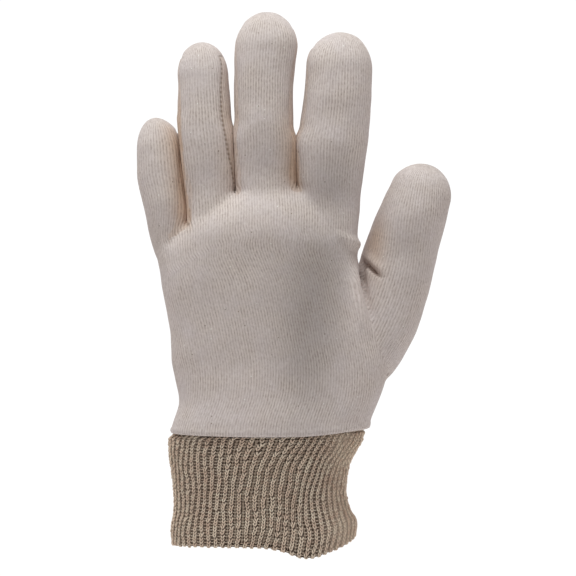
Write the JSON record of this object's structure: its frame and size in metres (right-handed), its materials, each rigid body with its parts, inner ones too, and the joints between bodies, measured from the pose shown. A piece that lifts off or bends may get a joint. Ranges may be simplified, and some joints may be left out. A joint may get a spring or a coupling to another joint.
{
  "type": "cotton work glove",
  "caption": "Knitted cotton work glove for the left hand with a ribbed wrist, held open in the form of a hand with its fingers up.",
  "frame": {"origin": "middle of the wrist opening, where the hand goes in", "axes": "+Z from the cuff to the fingertips, +X to the thumb, +Y to the palm side, so that the back of the hand faces -Y"},
  "size_m": [0.1455, 0.0482, 0.2497],
  "materials": {
    "cotton_interlock": "matt unbleached cotton, fine interlock knit",
    "rib_knit": "matt beige cotton, coarse rib knit"
  },
  "bodies": {
    "root": {"back_panel": "cotton_interlock", "palm_panel": "cotton_interlock", "fourchette_ring_little": "cotton_interlock", "fourchette_middle_ring": "cotton_interlock", "fourchette_index_middle": "cotton_interlock", "thumb": "cotton_interlock", "cuff": "rib_knit"}
  },
  "joints": []
}
